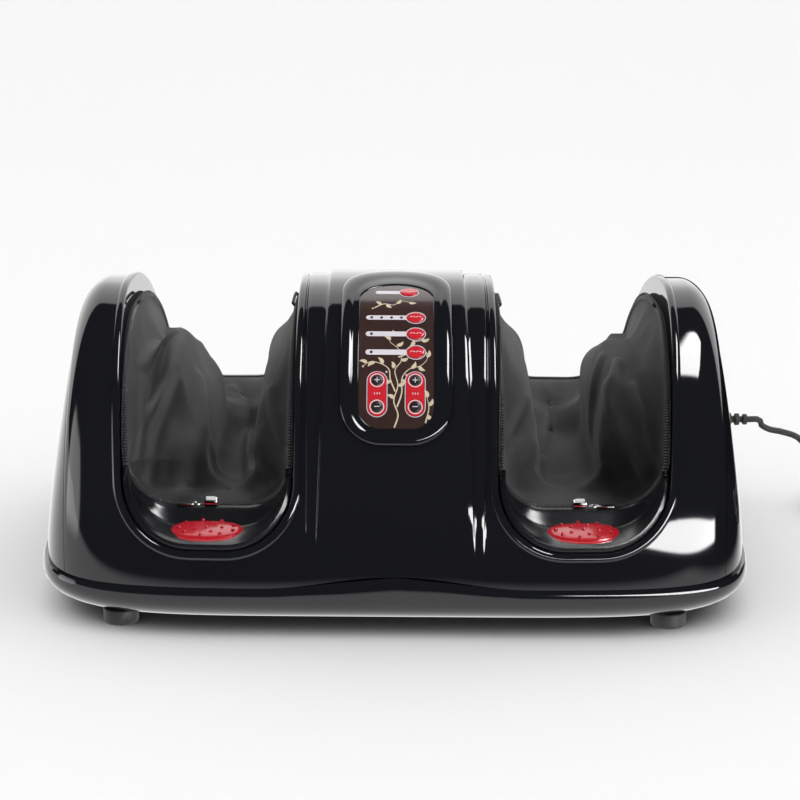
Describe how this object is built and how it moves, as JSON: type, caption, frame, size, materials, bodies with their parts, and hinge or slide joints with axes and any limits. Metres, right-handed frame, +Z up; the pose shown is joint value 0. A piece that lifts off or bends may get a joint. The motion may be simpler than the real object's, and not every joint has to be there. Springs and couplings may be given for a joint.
{
  "type": "foot and leg massager",
  "caption": "Floor massager with two open fabric-lined wells for feet and calves, kneading plates behind the lining, a sloped keypad console between them and a mains lead",
  "frame": {"origin": "on the floor under the middle of the case, which the feet stand on; the mains lead is left out of that middle", "axes": "+X to the right of someone who faces the console, +Y to the back, +Z up"},
  "size_m": [0.6512, 0.35, 0.2048],
  "materials": {
    "shell_gloss": "high gloss",
    "satin_black": "satin",
    "lining_fabric": "woven, matt",
    "rubber_black": "matt",
    "overlay_brown": "semi-gloss",
    "key_red": "satin",
    "gel_red": "translucent gloss",
    "zinc_steel": "zinc plated",
    "nickel": "polished",
    "nylon_natural": "matt",
    "board_green": "matt",
    "lamp_smoke": "clear smoke"
  },
  "bodies": {
    "case": {"upper_shell": "shell_gloss", "base_tray": "shell_gloss", "side_panel_left": "shell_gloss", "side_panel_right": "shell_gloss", "console_bezel": "shell_gloss", "control_panel": "overlay_brown", "key_capsule_left": "key_red", "key_capsule_right": "key_red", "control_board": "board_green", "light_guide": "lamp_smoke", "toe_ledge_left": "satin_black", "toe_ledge_right": "satin_black", "heat_pad_left": "gel_red", "heat_pad_right": "gel_red", "lining_left": "lining_fabric", "lining_right": "lining_fabric", "zip_left": "satin_black", "zip_right": "satin_black", "zip_slider_left": "nickel", "zip_slider_right": "nickel", "sole_plate_left": "satin_black", "sole_plate_right": "satin_black", "foot_front_left": "rubber_black", "foot_front_right": "rubber_black", "foot_rear_left": "rubber_black", "foot_rear_right": "rubber_black", "chassis": "zinc_steel", "bearing_end_left": "nylon_natural", "bearing_mid_left": "nylon_natural", "bearing_mid_right": "nylon_natural", "bearing_end_right": "nylon_natural", "gear_bracket": "zinc_steel", "motor": "zinc_steel", "strain_relief": "rubber_black", "lead_run": "rubber_black", "lead_coil": "rubber_black", "lead_tail": "rubber_black", "cable_tie": "satin_black", "plug": "rubber_black"},
    "drive_train": {"drive_shaft": "zinc_steel", "worm_wheel": "nylon_natural", "wobble_bush_inner_left": "satin_black", "wobble_bush_inner_right": "satin_black", "wobble_bush_outer_left": "satin_black", "wobble_bush_outer_right": "satin_black"},
    "worm": {"motor_worm": "zinc_steel"},
    "knead_inner_left": {"knead_plate_inner_left": "nylon_natural"},
    "knead_inner_right": {"knead_plate_inner_right": "nylon_natural"},
    "knead_outer_left": {"knead_plate_outer_left": "nylon_natural"},
    "knead_outer_right": {"knead_plate_outer_right": "nylon_natural"},
    "key_power_body": {"key_power": "key_red"},
    "key_upper_body": {"key_upper": "key_red"},
    "key_middle_body": {"key_middle": "key_red"},
    "key_lower_body": {"key_lower": "key_red"},
    "round_key_upper_left_body": {"round_key_upper_left": "satin_black"},
    "round_key_lower_left_body": {"round_key_lower_left": "satin_black"},
    "round_key_upper_right_body": {"round_key_upper_right": "satin_black"},
    "round_key_lower_right_body": {"round_key_lower_right": "satin_black"},
    "pull_left": {"zip_pull_left": "nickel"},
    "pull_right": {"zip_pull_right": "nickel"}
  },
  "joints": [
    {"name": "drive_shaft_turn", "type": "hinge", "parent": "case", "child": "drive_train", "pos_m": [0, 0, 0.044], "axis": [1, 0, 0], "continuous": true},
    {"name": "worm_turn", "type": "hinge", "parent": "case", "child": "worm", "pos_m": [0, 0, 0.0682], "axis": [0, 1, 0], "continuous": true},
    {"name": "knead_rock_inner_left", "type": "hinge", "parent": "case", "child": "knead_inner_left", "pos_m": [-0.0715, 0, 0.044], "axis": [0, 1, 0], "range_deg": [-2.5, 2.5]},
    {"name": "knead_rock_inner_right", "type": "hinge", "parent": "case", "child": "knead_inner_right", "pos_m": [0.0715, 0, 0.044], "axis": [0, 1, 0], "range_deg": [-2.5, 2.5]},
    {"name": "knead_rock_outer_left", "type": "hinge", "parent": "case", "child": "knead_outer_left", "pos_m": [-0.1565, 0, 0.044], "axis": [0, 1, 0], "range_deg": [-2.5, 2.5]},
    {"name": "knead_rock_outer_right", "type": "hinge", "parent": "case", "child": "knead_outer_right", "pos_m": [0.1565, 0, 0.044], "axis": [0, 1, 0], "range_deg": [-2.5, 2.5]},
    {"name": "key_power_press", "type": "slide", "parent": "case", "child": "key_power_body", "axis": [0, 0.2842, -0.9588], "range_m": [0, 0.0007], "stiffness_N_per_m": 300},
    {"name": "key_upper_press", "type": "slide", "parent": "case", "child": "key_upper_body", "axis": [0, 0.4893, -0.8721], "range_m": [0, 0.0007], "stiffness_N_per_m": 300},
    {"name": "key_middle_press", "type": "slide", "parent": "case", "child": "key_middle_body", "axis": [0, 0.5814, -0.8136], "range_m": [0, 0.0007], "stiffness_N_per_m": 300},
    {"name": "key_lower_press", "type": "slide", "parent": "case", "child": "key_lower_body", "axis": [0, 0.6641, -0.7477], "range_m": [0, 0.0007], "stiffness_N_per_m": 300},
    {"name": "round_key_upper_left_press", "type": "slide", "parent": "case", "child": "round_key_upper_left_body", "axis": [0, 0.7616, -0.648], "range_m": [0, 0.0007], "stiffness_N_per_m": 300},
    {"name": "round_key_lower_left_press", "type": "slide", "parent": "case", "child": "round_key_lower_left_body", "axis": [0, 0.8305, -0.557], "range_m": [0, 0.0007], "stiffness_N_per_m": 300},
    {"name": "round_key_upper_right_press", "type": "slide", "parent": "case", "child": "round_key_upper_right_body", "axis": [0, 0.7616, -0.648], "range_m": [0, 0.0007], "stiffness_N_per_m": 300},
    {"name": "round_key_lower_right_press", "type": "slide", "parent": "case", "child": "round_key_lower_right_body", "axis": [0, 0.8305, -0.557], "range_m": [0, 0.0007], "stiffness_N_per_m": 300},
    {"name": "zip_pull_lift_left", "type": "hinge", "parent": "case", "child": "pull_left", "pos_m": [-0.1209, -0.12879, 0.0738], "axis": [0, 1, 0], "range_deg": [0, 80]},
    {"name": "zip_pull_lift_right", "type": "hinge", "parent": "case", "child": "pull_right", "pos_m": [0.1209, -0.12879, 0.0738], "axis": [0, -1, 0], "range_deg": [0, 80]}
  ],
  "couplings": [
    {"joint": "worm_turn", "follows": "drive_shaft_turn", "ratio": -30},
    {"joint": "knead_rock_inner_left", "follows": "knead_rock_inner_right", "ratio": -1},
    {"joint": "knead_rock_outer_left", "follows": "knead_rock_inner_right", "ratio": 1},
    {"joint": "knead_rock_outer_right", "follows": "knead_rock_inner_right", "ratio": -1}
  ]
}
